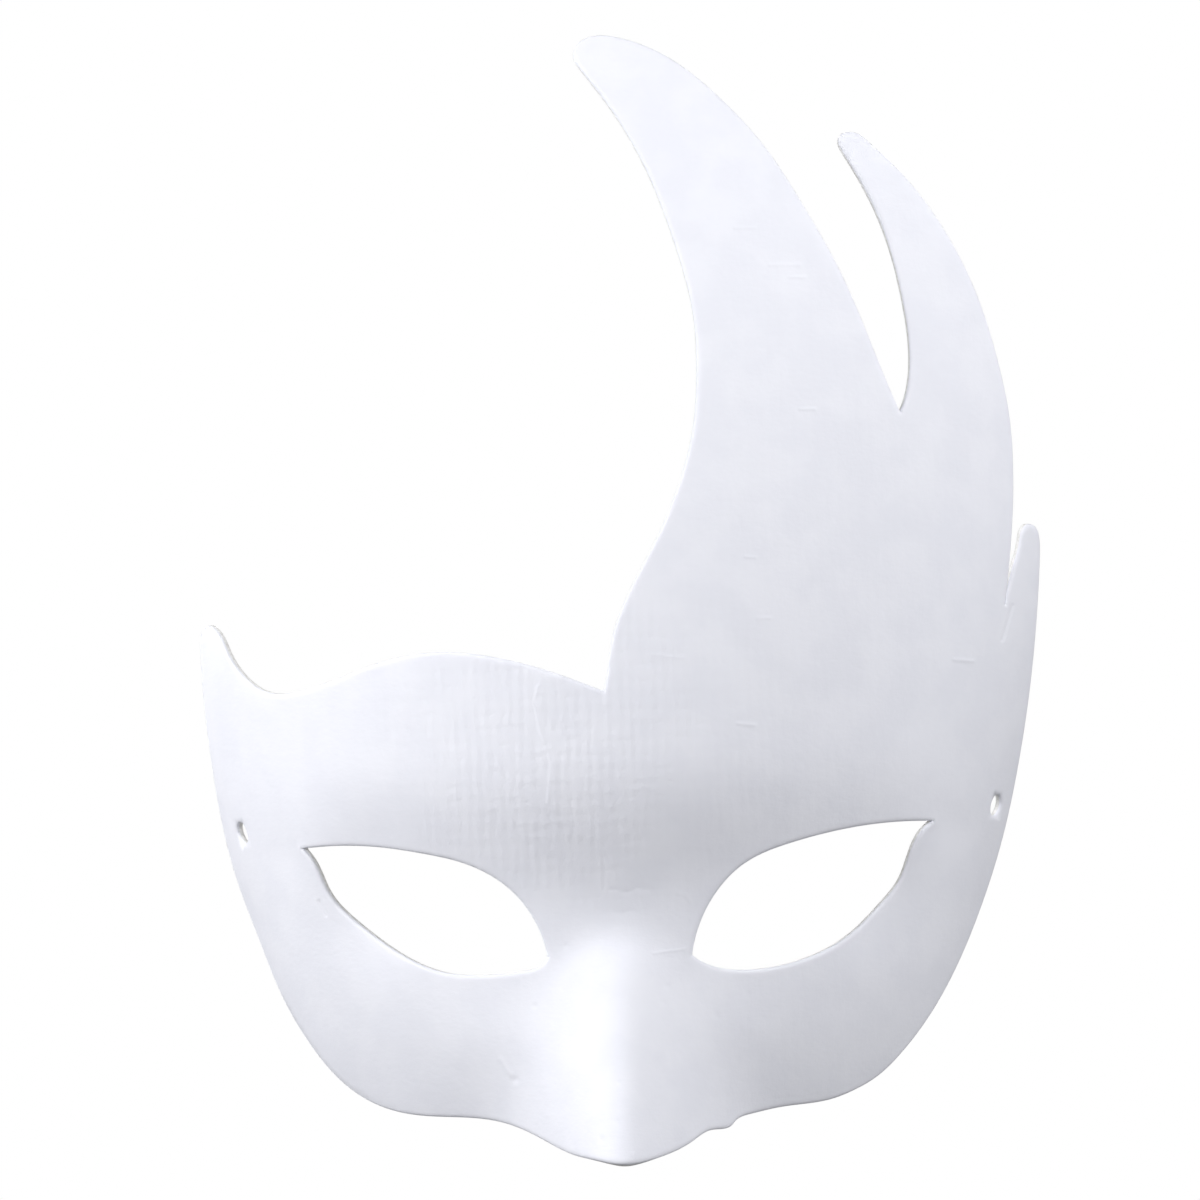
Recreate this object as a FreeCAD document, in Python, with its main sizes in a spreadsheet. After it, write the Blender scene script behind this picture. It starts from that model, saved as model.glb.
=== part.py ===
import FreeCAD, Part
import math
import os

from FreeCAD import Vector

# A blank papier-mache half mask with a flame crest on one side.
#
# Frame: millimetres, X to the right as the mask is looked at, +Z up, the face
# towards -Y.  The origin is midway between the mouths of the two cord holes,
# where the cords would hold the mask against a head.
#
# The wall is a laminate of three plies that share one outline: a smooth white
# facing, the pulp core that carries the load, and a lining on the back.  Every
# ply lies between two surfaces that are offset from the front surface along
# its normals, and every cut edge runs straight through the wall.

DRIVING_SIZES = (
    # alias, value, what it is
    ("facing_ply", 0.3, "thickness of the smooth front ply"),
    ("core_ply", 1.1, "thickness of the pulp core"),
    ("lining_ply", 0.3, "thickness of the back ply"),
    ("hole_spread", 162.6, "distance between the cord holes"),
    ("hole_radius", 2.35, "radius of a cord hole"),
    ("drill_length", 12.0, "length of the drill that makes a cord hole"),
    ("temple_half_width", 93.0, "half width of the wrapped oval at the eyes"),
    ("wrap_depth", 91.0, "depth of the wrapped oval"),
    ("widening", 0.30, "growth of the half width per millimetre of height"),
    ("wrap_limit", 0.94, "share of the half width where the wrap runs straight"),
    ("crest_lean", 0.0012, "backward curve of the crest"),
    ("crest_lean_start", -10.0, "height where the crest starts to lean"),
    ("socket_depth", 5.2, "depth of the eye hollows under the brow"),
    ("brow_height", 18.4, "height where the brow starts to fall back"),
    ("brow_fall", 40.5, "height over which the brow falls back"),
    ("lid_height", -21.0, "height where the cheek starts to come forward"),
    ("cheek_rise", 27.7, "height over which the cheek comes forward"),
    ("cheek_return", 0.44, "share of the hollow that the cheek takes back"),
    ("socket_half_width", 47.5, "half width of the hollow at full depth"),
    ("socket_fade", 28.0, "width over which the hollow fades at the temple"),
    ("jaw_height", -40.5, "height below which the cheek tucks under"),
    ("jaw_tuck", 3.2, "tuck of the cheek at one jaw step below that"),
    ("jaw_step", 20.0, "height of one jaw step"),
    ("cheek_swell", 2.1, "swell of the cheekbone"),
    ("cheek_side", 50.0, "sideways place of the cheekbone"),
    ("cheek_height", -30.0, "height of the cheekbone"),
    ("cheek_spread_x", 17.0, "sideways spread of the cheekbone"),
    ("cheek_spread_z", 11.0, "upright spread of the cheekbone"),
    ("nasion_height", -21.4, "height of the root of the nose"),
    ("nose_grade", 0.59, "forward run of the nose per millimetre down"),
    ("nose_bend", 10.0, "half height of the bend at the root of the nose"),
    ("nose_length", 49.5, "length of the nose"),
    ("nose_root_half", 8.3, "half width of the nose at its root"),
    ("nose_wing_half", 18.8, "half width of the nose at its tip"),
    ("nose_overrun", 1.1, "share of its length past which the nose widens no more"),
    ("nose_crown", 2.0, "roundness of the section of the nose"),
)

# The sheets that the plies are cut from: their knots in the front view.
GRID_STEP = 3.0
GRID_LEFT, GRID_RIGHT = -96.0, 102.0
GRID_BOTTOM, GRID_TOP = -75.0, 177.0
SPLINE_DEGREE = 3
POLE_SHARE = 1.0 / 6.0
SLOPE_PROBE = 0.01

# The outline in the front view, as (x, z).  It is drawn in three strokes that
# meet at three sharp corners: the notch over the nose, the slit between the
# two flames, and the slit beside the spike at the right rim.
BIG_FLAME = (
    (-1.1, 29.4), (-0.2, 33.0), (0.5, 37.5), (4.1, 47.9), (11.0, 60.3),
    (16.2, 71.8), (19.4, 82.5), (20.6, 93.0), (20.4, 107.0), (17.1, 122.0),
    (10.4, 140.8), (2.3, 154.9), (-1.8, 160.6), (-3.2, 163.7), (-2.6, 165.6),
    (0.3, 167.5), (6.3, 167.2), (15.3, 163.5), (27.7, 153.2), (37.8, 140.9),
    (43.7, 130.9), (51.5, 115.7), (60.2, 92.7), (63.2, 85.0),
)
SECOND_FLAME = (
    (63.2, 85.0), (65.2, 90.5), (65.9, 98.0), (64.9, 108.5), (61.3, 124.0),
    (56.3, 135.5), (53.1, 141.3), (52.5, 143.2), (53.2, 144.6), (55.0, 145.0),
    (56.6, 144.7), (58.8, 143.0), (65.3, 136.4), (75.4, 121.8), (81.3, 108.4),
    (85.4, 93.0), (86.9, 84.1), (87.4, 72.0), (86.3, 55.8), (84.5, 43.3),
)
SPIKE = (
    (84.5, 43.3), (86.5, 50.4), (88.5, 56.8), (89.2, 59.2), (90.5, 60.1),
    (91.9, 59.6), (92.8, 57.3), (92.8, 52.2),
)
RIGHT_RIM = (
    (91.7, 39.4), (90.1, 26.5), (87.0, 9.2), (82.7, -7.9), (76.3, -24.7),
    (67.4, -40.9), (58.4, -51.6), (53.6, -55.5), (47.8, -58.1), (43.5, -59.2),
)
RIGHT_CHEEK = ((32.9, -59.6), (26.1, -60.3), (23.2, -61.2))
NOSE_EDGE = (
    (22.3, -62.1), (18.2, -62.2), (14.2, -63.7), (7.7, -65.3), (0.8, -65.8),
    (-6.7, -65.2), (-11.1, -64.8), (-18.0, -62.6), (-25.4, -60.3), (-33.0, -59.6),
)
LEFT_RIM = (
    (-43.9, -59.7), (-51.9, -58.6), (-57.3, -56.4), (-63.8, -51.4), (-68.4, -45.9),
    (-73.8, -37.5), (-80.2, -21.8), (-83.3, -13.3), (-86.0, -2.0),
    (-88.0, 15.8), (-88.8, 33.3), (-88.7, 40.5),
)
LEFT_HORN = (
    (-88.0, 43.8), (-86.6, 45.0), (-84.9, 44.2), (-82.2, 39.4), (-77.6, 33.1),
    (-74.2, 31.0), (-70.1, 30.3),
)
BROW_EDGE = (
    (-65.5, 31.0), (-57.2, 33.5), (-49.2, 36.3), (-43.4, 37.7), (-37.0, 38.4),
    (-30.6, 38.2), (-22.2, 36.8), (-14.0, 34.5), (-5.8, 31.4), (-1.1, 29.4),
)
OUTLINE_STROKES = (
    BIG_FLAME,
    SECOND_FLAME,
    SPIKE + RIGHT_RIM + RIGHT_CHEEK + NOSE_EDGE + LEFT_RIM + LEFT_HORN + BROW_EDGE,
)

# The eye openings, each an upper and a lower lid from the outer corner to the
# inner one.
LEFT_EYE_LIDS = (
    ((-66.9, -2.8), (-60.5, -2.2), (-48.0, -2.6), (-40.9, -3.7), (-33.7, -5.3),
     (-27.7, -7.7), (-21.8, -12.0), (-17.2, -18.5), (-15.0, -25.6)),
    ((-66.9, -2.8), (-63.8, -7.3), (-61.8, -12.0), (-55.3, -18.8), (-45.0, -25.6),
     (-36.0, -28.8), (-28.6, -29.2), (-20.3, -28.5), (-16.3, -27.2), (-15.0, -25.6)),
)
RIGHT_EYE_LIDS = (
    ((67.0, -1.8), (60.6, -1.4), (48.6, -2.0), (36.8, -4.2), (26.8, -8.0),
     (20.8, -13.6), (16.8, -20.7), (15.3, -26.3)),
    ((67.0, -1.8), (63.7, -4.9), (61.6, -9.3), (59.5, -14.0), (55.3, -18.6), (49.8, -23.4),
     (39.9, -28.2), (28.1, -30.0), (19.6, -28.8), (15.3, -26.3)),
)


def smooth_step(share):
    """Rise from 0 to 1 with no slope and no bend at either end."""
    share = min(max(share, 0.0), 1.0)
    return share ** 3 * (share * (6.0 * share - 15.0) + 10.0)


class FrontSurface:
    """The moulded front of the mask: how far back it lies at each (x, z)."""

    def __init__(self, sheet):
        for alias, _value, _note in DRIVING_SIZES:
            setattr(self, alias, float(sheet.get(alias)))
        hole_share = self.hole_spread / 2 / self.temple_half_width
        self.forehead = -self.wrap_depth * (1 - math.sqrt(1 - hole_share ** 2))

    def wrap(self, x, z):
        """Oval section that wraps the head, and straight past its limit."""
        share = abs(x) / (self.temple_half_width + self.widening * z)
        inner = min(share, self.wrap_limit)
        slope = inner / math.sqrt(1 - inner ** 2)
        drop = 1 - math.sqrt(1 - inner ** 2) + slope * (share - inner)
        return self.wrap_depth * drop

    def lean(self, z):
        """Backward curve of the crest, nothing at the cord holes."""
        rise = max(z - self.crest_lean_start, 0.0)
        return self.crest_lean * (rise ** 2 - self.crest_lean_start ** 2)

    def hollow(self, z):
        """Depth of the eye hollow at its middle."""
        fall = smooth_step((self.brow_height - z) / self.brow_fall)
        rise = smooth_step((self.lid_height - z) / self.cheek_rise)
        return self.socket_depth * fall * (1 - self.cheek_return * rise)

    def tuck(self, z):
        """Backward tuck of the cheek towards the lower edge."""
        return self.jaw_tuck * (max(self.jaw_height - z, 0.0) / self.jaw_step) ** 2

    def swell(self, x, z):
        """Forward swell of the cheekbone."""
        across = (abs(x) - self.cheek_side) / self.cheek_spread_x
        along = (z - self.cheek_height) / self.cheek_spread_z
        return self.cheek_swell * math.exp(-across ** 2 - along ** 2)

    def nose(self, x, z):
        """Forward height of the nose over the face round it."""
        down = self.nasion_height - z
        bend = 0.5 * (down + math.hypot(down, self.nose_bend / 2))
        ridge = self.socket_depth - self.nose_grade * bend
        face = self.lean(z) + self.hollow(z) + self.tuck(z)
        start = smooth_step((down + self.nose_bend) / (2 * self.nose_bend))
        share = min(max(down / self.nose_length, 0.0), self.nose_overrun)
        half = self.nose_root_half + (self.nose_wing_half - self.nose_root_half) * share
        section = math.exp(-(abs(x) / half) ** self.nose_crown)
        return max(face - ridge, 0.0) * start * section

    def depth(self, x, z):
        """Y of the front surface."""
        side = 1 - smooth_step((abs(x) - self.socket_half_width) / self.socket_fade)
        face = self.forehead + self.wrap(x, z) + self.lean(z) + self.tuck(z)
        return face + side * self.hollow(z) - self.swell(x, z) - self.nose(x, z)

    def normal(self, x, z):
        """Unit normal that points out of the front."""
        probe = SLOPE_PROBE
        across = (self.depth(x + probe, z) - self.depth(x - probe, z)) / (2 * probe)
        along = (self.depth(x, z + probe) - self.depth(x, z - probe)) / (2 * probe)
        outward = Vector(across, -1.0, along)
        return outward.normalize()

    def point(self, x, z, inset):
        """Point inset from the front surface along its normal."""
        return Vector(x, self.depth(x, z), z) - self.normal(x, z) * inset


def grid_knots(low, high):
    """Evenly spaced knots, their multiplicities, and where each pole belongs."""
    count = round((high - low) / GRID_STEP)
    knots = [low + GRID_STEP * i for i in range(count + 1)]
    ends = SPLINE_DEGREE + 1
    mults = [ends] + [1] * (count - 1) + [ends]
    flat = [low] * (ends - 1) + knots + [high] * (ends - 1)
    places = [
        sum(flat[i + 1:i + 1 + SPLINE_DEGREE]) / SPLINE_DEGREE
        for i in range(count + SPLINE_DEGREE)
    ]
    return knots, mults, places


def ply_surface(front, inset):
    """B-spline through the offset front surface; its parameters are x and z."""
    u_knots, u_mults, u_places = grid_knots(GRID_LEFT, GRID_RIGHT)
    v_knots, v_mults, v_places = grid_knots(GRID_BOTTOM, GRID_TOP)
    step = GRID_STEP

    def pole(x, z):
        # A cubic spline passes through a curve's points when each pole stands
        # off by a sixth of the second difference, here taken both ways.
        here = front.point(x, z, inset)
        across = front.point(x - step, z, inset) + front.point(x + step, z, inset)
        along = front.point(x, z - step, inset) + front.point(x, z + step, inset)
        return here + (here * 4.0 - across - along) * POLE_SHARE

    poles = [[pole(x, z) for z in v_places] for x in u_places]
    surface = Part.BSplineSurface()
    surface.buildFromPolesMultsKnots(
        poles, u_mults, v_mults, u_knots, v_knots,
        False, False, SPLINE_DEGREE, SPLINE_DEGREE,
    )
    return surface


def flat_curve(points):
    """Spline through (x, z) points, drawn in a sketch's own plane."""
    curve = Part.BSplineCurve()
    curve.interpolate([Vector(x, z, 0) for x, z in points])
    return curve


def add_outline_sketch(doc, name, strokes):
    """A front-view sketch that holds one closed loop of splines."""
    sketch = doc.addObject("Sketcher::SketchObject", name)
    sketch.Label = name
    sketch.Placement = FreeCAD.Placement(Vector(), FreeCAD.Rotation(Vector(1, 0, 0), 90))
    sketch.addGeometry([flat_curve(stroke) for stroke in strokes], False)
    return sketch


def surface_curves(sketch):
    """The sketch's splines as curves in a surface's own (x, z) parameters."""
    curves = []
    for drawn in sketch.Geometry:
        curve = Part.Geom2d.BSplineCurve2d()
        curve.buildFromPolesMultsKnots(
            [FreeCAD.Base.Vector2d(p.x, p.y) for p in drawn.getPoles()],
            drawn.getMultiplicities(), drawn.getKnots(), False, drawn.Degree,
        )
        curves.append(curve)
    return curves


def trimmed_face(surface, loops):
    """Face inside the first loop and outside the others, and every loop's edges."""
    edges = [[curve.toShape(surface) for curve in loop] for loop in loops]
    wires = [Part.Wire(Part.__sortEdges__(loop)) for loop in edges]
    face = Part.Face(surface, wires[0])
    face.validate()
    face.cutHoles(wires[1:])
    face.validate()
    return face, [edge for loop in edges for edge in loop]


def ply_solid(outer, inner, loops):
    """Closed solid between two offset surfaces, its cut edges straight through."""
    front_face, front_edges = trimmed_face(outer, loops)
    back_face, back_edges = trimmed_face(inner, loops)
    rims = [Part.makeRuledSurface(*pair) for pair in zip(front_edges, back_edges)]
    shell = Part.makeShell([front_face, back_face] + rims)
    shell.sewShape()
    solid = Part.makeSolid(shell)
    if solid.Volume < 0:
        solid.reverse()
    return solid


def add_sheet(doc):
    """Spreadsheet of the driving sizes, one alias to a row."""
    sheet = doc.addObject("Spreadsheet::Sheet", "Sizes")
    for row, (alias, value, note) in enumerate(DRIVING_SIZES, start=1):
        sheet.set(f"A{row}", note)
        sheet.set(f"B{row}", str(value))
        sheet.setAlias(f"B{row}", alias)
    doc.recompute()
    return sheet


def add_drill(doc, name, front, side):
    """Cylinder square to the wall at one cord hole, side -1 for the left."""
    drill = doc.addObject("Part::Cylinder", name)
    drill.Label = name
    drill.setExpression("Radius", "Sizes.hole_radius")
    drill.setExpression("Height", "Sizes.drill_length")
    hole_x = side * front.hole_spread / 2
    start = front.point(hole_x, 0.0, -front.drill_length / 2)
    inward = front.normal(hole_x, 0.0) * -1
    drill.Placement = FreeCAD.Placement(start, FreeCAD.Rotation(Vector(0, 0, 1), inward))
    return drill


def add_cord_holes(doc, front):
    """The two drills as one tool."""
    drills = doc.addObject("Part::MultiFuse", "cord_hole_drills")
    drills.Shapes = [
        add_drill(doc, "left_cord_hole_drill", front, -1),
        add_drill(doc, "right_cord_hole_drill", front, 1),
    ]
    return drills


def add_ply(doc, name, surfaces, loops, drills):
    """One ply of the wall: a moulded blank with the cord holes drilled."""
    blank = doc.addObject("Part::Feature", name + "_blank")
    blank.Shape = ply_solid(surfaces[0], surfaces[1], loops)
    blank.Placement = FreeCAD.Placement()
    ply = doc.addObject("Part::Cut", name)
    ply.Label = name
    ply.Base = blank
    ply.Tool = drills
    ply.Placement = FreeCAD.Placement()
    return ply


def check_document(doc, plies):
    """Stop if any object failed or any ply is not one valid solid."""
    for item in doc.Objects:
        if "Invalid" in item.State or "Error" in item.State:
            raise RuntimeError(f"{item.Label} failed: {item.State}")
    for ply in plies:
        shape = ply.Shape
        if shape.isNull() or not shape.isValid() or len(shape.Solids) != 1:
            raise RuntimeError(f"{ply.Label} is not one valid solid")


def main():
    """Build the three plies and write each one to parts/."""
    doc = FreeCAD.newDocument("flame_crest_half_mask")
    front = FrontSurface(add_sheet(doc))
    sketches = (
        add_outline_sketch(doc, "mask_outline", OUTLINE_STROKES),
        add_outline_sketch(doc, "left_eye_outline", LEFT_EYE_LIDS),
        add_outline_sketch(doc, "right_eye_outline", RIGHT_EYE_LIDS),
    )
    doc.recompute()
    loops = [surface_curves(sketch) for sketch in sketches]
    drills = add_cord_holes(doc, front)

    insets = [0.0]
    for thickness in (front.facing_ply, front.core_ply, front.lining_ply):
        insets.append(insets[-1] + thickness)
    surfaces = [ply_surface(front, inset) for inset in insets]
    plies = [
        add_ply(doc, name, surfaces[layer:layer + 2], loops, drills)
        for layer, name in enumerate(("front_facing", "pulp_core", "back_lining"))
    ]
    doc.recompute()
    check_document(doc, plies)

    os.makedirs("parts", exist_ok=True)
    for ply in plies:
        ply.Shape.exportStep(f"parts/{ply.Label}.step")
        print(f"{ply.Label}: one valid solid with {len(ply.Shape.Faces)} faces")
    for side, name in ((-1, "left"), (1, "right")):
        hole_x = side * front.hole_spread / 2
        mouth = front.point(hole_x, 0.0, 0.0)
        axis = front.normal(hole_x, 0.0)
        print(f"{name} cord hole: mouth {tuple(mouth)}, axis {tuple(axis)}")


main()
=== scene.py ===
"""A blank white half mask with a flame crest, dressed for its portrait.

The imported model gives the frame: one moulded paper wall of three plies, with
its origin midway between the two cord holes, X to the right as the mask is
looked at, Z up and the face towards -Y.  The sharp-edged plies of the frame
are each replaced by a finished one, with a worn rounded rim, the creases and
scars of the pasted paper, and the dimples that the forming screen left.

The mask is drawn in millimetres and put into the meshes in metres.
"""

import logging
import math
from dataclasses import dataclass, field
from enum import Enum

import bpy
import numpy as np
from mathutils import Matrix, Vector
from mathutils.geometry import delaunay_2d_cdt


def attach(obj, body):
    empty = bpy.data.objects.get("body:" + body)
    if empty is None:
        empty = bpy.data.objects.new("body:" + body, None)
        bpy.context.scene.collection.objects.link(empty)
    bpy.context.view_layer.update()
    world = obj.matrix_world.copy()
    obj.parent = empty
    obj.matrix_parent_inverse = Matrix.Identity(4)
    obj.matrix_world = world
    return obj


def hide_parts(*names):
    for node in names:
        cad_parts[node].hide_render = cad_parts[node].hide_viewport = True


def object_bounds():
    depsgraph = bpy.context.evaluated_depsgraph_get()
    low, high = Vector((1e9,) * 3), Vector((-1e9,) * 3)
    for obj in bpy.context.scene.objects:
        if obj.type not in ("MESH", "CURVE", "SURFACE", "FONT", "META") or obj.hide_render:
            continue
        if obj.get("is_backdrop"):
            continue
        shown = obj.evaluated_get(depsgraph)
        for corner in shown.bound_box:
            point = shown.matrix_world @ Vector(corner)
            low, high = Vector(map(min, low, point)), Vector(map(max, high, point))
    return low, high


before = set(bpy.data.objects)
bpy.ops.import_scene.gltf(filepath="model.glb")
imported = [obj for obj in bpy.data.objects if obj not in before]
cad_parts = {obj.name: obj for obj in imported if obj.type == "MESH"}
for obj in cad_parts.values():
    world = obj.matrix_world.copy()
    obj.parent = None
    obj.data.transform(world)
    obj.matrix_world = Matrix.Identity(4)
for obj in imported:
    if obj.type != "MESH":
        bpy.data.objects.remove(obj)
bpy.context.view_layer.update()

LOG = logging.getLogger("flame_crest_mask")
MM = 0.001
TURN = 2 * math.pi

SHARP_CORNER = math.radians(50)
PAPER_IOR = 1.46
PATCH_MARGIN = 0.5

Pairs = tuple[tuple[float, float], ...]
Triple = tuple[float, float, float]
Rgb = Triple


def smooth_step(share: np.ndarray) -> np.ndarray:
    """Rise from 0 to 1 with no slope and no bend at either end."""
    share = np.clip(share, 0.0, 1.0)
    return share**3 * (share * (6 * share - 15) + 10)


def bell(offset: np.ndarray) -> np.ndarray:
    """Bell curve, 1 at no offset and nearly 0 at an offset of 2."""
    return np.exp(-offset**2)


# --- The moulded form ------------------------------------------------------


@dataclass(frozen=True)
class MouldedFront:
    """The front of the mask as one surface: how far back it lies at (x, z).

    The fields are the same driving sizes as in the frame, in millimetres, and
    every method takes and gives whole arrays in millimetres.
    """

    hole_spread: float = 162.6
    half_width: float = 93.0
    wrap_depth: float = 91.0
    widening: float = 0.30
    wrap_limit: float = 0.94
    crest_lean: float = 0.0012
    lean_start: float = -10.0
    socket_depth: float = 5.2
    brow_height: float = 18.4
    brow_fall: float = 40.5
    lid_height: float = -21.0
    cheek_rise: float = 27.7
    cheek_return: float = 0.44
    socket_half: float = 47.5
    socket_fade: float = 28.0
    jaw_height: float = -40.5
    jaw_tuck: float = 3.2
    jaw_step: float = 20.0
    swell: float = 2.1
    swell_at: tuple[float, float] = (50.0, -30.0)
    swell_spread: tuple[float, float] = (17.0, 11.0)
    nasion_height: float = -21.4
    nose_grade: float = 0.59
    nose_bend: float = 10.0
    nose_length: float = 49.5
    nose_root_half: float = 8.3
    nose_wing_half: float = 18.8
    nose_overrun: float = 1.1
    nose_crown: float = 2.0
    probe: float = 0.01
    table_reach: float = 1.12
    table_points: int = 801

    def wrap(self, x: np.ndarray, z: np.ndarray) -> np.ndarray:
        """Drop of an oval section, wrap_depth * (1 - sqrt(1 - share^2)), straight past its limit.

        Args:
            x: places across.
            z: heights, since the oval widens upwards.

        Returns:
            How far each place lies behind the middle of the section.
        """
        share = np.abs(x) / (self.half_width + self.widening * z)
        inner = np.minimum(share, self.wrap_limit)
        root = np.sqrt(1 - inner**2)
        return self.wrap_depth * (1 - root + inner / root * (share - inner))

    def lean(self, z: np.ndarray) -> np.ndarray:
        """Backward curve of the crest, a parabola that is nothing at the cord holes."""
        return self.crest_lean * (np.maximum(z - self.lean_start, 0.0) ** 2 - self.lean_start**2)

    def hollow(self, z: np.ndarray) -> np.ndarray:
        """Depth of the eye hollow, in under the brow and partly out over the cheek."""
        fall = smooth_step((self.brow_height - z) / self.brow_fall)
        rise = smooth_step((self.lid_height - z) / self.cheek_rise)
        return self.socket_depth * fall * (1 - self.cheek_return * rise)

    def tuck(self, z: np.ndarray) -> np.ndarray:
        """Backward tuck of the cheek towards the lower edge, a parabola."""
        return self.jaw_tuck * (np.maximum(self.jaw_height - z, 0.0) / self.jaw_step) ** 2

    def cheekbone(self, x: np.ndarray, z: np.ndarray) -> np.ndarray:
        """Forward swell of each cheekbone, a bell both ways."""
        across = (np.abs(x) - self.swell_at[0]) / self.swell_spread[0]
        return self.swell * bell(across) * bell((z - self.swell_at[1]) / self.swell_spread[1])

    def nose(self, x: np.ndarray, z: np.ndarray) -> np.ndarray:
        """Forward height of the nose: a bent ridge line times a section exp(-|x / half|^crown).

        Args:
            x: places across.
            z: heights.

        Returns:
            The height over the rest of the face, never below 0.
        """
        down = self.nasion_height - z
        bend = 0.5 * (down + np.hypot(down, self.nose_bend / 2))
        ridge = self.socket_depth - self.nose_grade * bend
        face = self.lean(z) + self.hollow(z) + self.tuck(z)
        start = smooth_step((down + self.nose_bend) / (2 * self.nose_bend))
        share = np.clip(down / self.nose_length, 0.0, self.nose_overrun)
        half = self.nose_root_half + (self.nose_wing_half - self.nose_root_half) * share
        return np.maximum(face - ridge, 0.0) * start * np.exp(-((np.abs(x) / half) ** self.nose_crown))

    def depth(self, x: np.ndarray, z: np.ndarray) -> np.ndarray:
        """Y of the front: wrap, lean and tuck, plus the hollow, less the cheekbones and the nose.

        Args:
            x: places across.
            z: heights.

        Returns:
            The Y of each place, 0 at the cord holes.
        """
        hole_share = self.hole_spread / 2 / self.half_width
        forehead = -self.wrap_depth * (1 - math.sqrt(1 - hole_share**2))
        side = 1 - smooth_step((np.abs(x) - self.socket_half) / self.socket_fade)
        face = forehead + self.wrap(x, z) + self.lean(z) + self.tuck(z)
        return face + side * self.hollow(z) - self.cheekbone(x, z) - self.nose(x, z)

    def normal(self, flat: np.ndarray) -> np.ndarray:
        """Unit normals out of the front, from the slope across and along.

        Args:
            flat: (x, z) pairs, one a row.

        Returns:
            The normals as an (n, 3) array.
        """
        x, z = flat.T
        across = (self.depth(x + self.probe, z) - self.depth(x - self.probe, z)) / (2 * self.probe)
        along = (self.depth(x, z + self.probe) - self.depth(x, z - self.probe)) / (2 * self.probe)
        outward = np.column_stack([across, -np.ones_like(across), along])
        return outward / np.linalg.norm(outward, axis=1, keepdims=True)

    def place(self, flat: np.ndarray, inset: np.ndarray | float) -> np.ndarray:
        """Points in the wall, set in from the front along its normals.

        Args:
            flat: (x, z) pairs, one a row.
            inset: depth of each point below the front.

        Returns:
            The points as an (n, 3) array.
        """
        x, z = flat.T
        skin = np.column_stack([x, self.depth(x, z), z])
        return skin - self.normal(flat) * np.reshape(inset, (-1, 1))

    def unrolled(self) -> tuple[np.ndarray, np.ndarray]:
        """Length of paper along the section at the cord holes.

        Returns:
            Places across, and the length of paper from the middle to each.
        """
        reach = self.table_reach * self.half_width
        x = np.linspace(-reach, reach, self.table_points)
        run = np.hypot(np.diff(x), np.diff(self.wrap(x, 0.0)))
        paper = np.concatenate([[0.0], np.cumsum(run)])
        return x, paper - paper[len(paper) // 2]


def spline_through(points: Pairs, spacing: float) -> np.ndarray:
    """Sample the smooth curve through given points.

    It is a cubic spline over its chord length.  The slopes m make the bend
    continuous at every inner point, which is h2*m0 + 2*(h1 + h2)*m1 + h1*m2 =
    3*(h2*d1 + h1*d2) for steps h and chord slopes d, and each end slope is
    that of the cubic through the four nearest points.

    Args:
        points: the (x, z) points, in millimetres.
        spacing: the distance between samples.

    Returns:
        The samples as an (n, 2) array, both ends included.
    """
    place = np.array(points)
    step = np.hypot(*np.diff(place, axis=0).T)
    knot = np.concatenate([[0.0], np.cumsum(step)])
    chord = np.diff(place, axis=0) / step[:, None]
    inner = np.arange(1, len(place) - 1)
    matrix = np.eye(len(place))
    matrix[inner, inner - 1] = step[1:]
    matrix[inner, inner] = 2 * (step[:-1] + step[1:])
    matrix[inner, inner + 1] = step[:-1]
    right = np.empty_like(place)
    right[1:-1] = 3 * (step[1:, None] * chord[:-1] + step[:-1, None] * chord[1:])
    polyfit = np.polynomial.polynomial.polyfit
    right[0] = polyfit(knot[:4] - knot[0], place[:4], 3)[1]
    right[-1] = polyfit(knot[-4:] - knot[-1], place[-4:], 3)[1]
    slope = np.linalg.solve(matrix, right)
    samples = np.linspace(0.0, knot[-1], round(knot[-1] / spacing) + 1)
    span = np.clip(np.searchsorted(knot, samples, side="right") - 1, 0, len(step) - 1)
    share = ((samples - knot[span]) / step[span])[:, None]
    rest = 1 - share
    return (
        place[span] * rest**2 * (1 + 2 * share)
        + place[span + 1] * share**2 * (1 + 2 * rest)
        + step[span, None] * share * rest * (slope[span] * rest - slope[span + 1] * share)
    )


def signed_area(loop: np.ndarray) -> float:
    """Area inside a closed loop, positive if it runs anticlockwise."""
    ahead = np.roll(loop, -1, axis=0)
    return float(np.sum(loop[:, 0] * ahead[:, 1] - ahead[:, 0] * loop[:, 1]) / 2)


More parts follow.
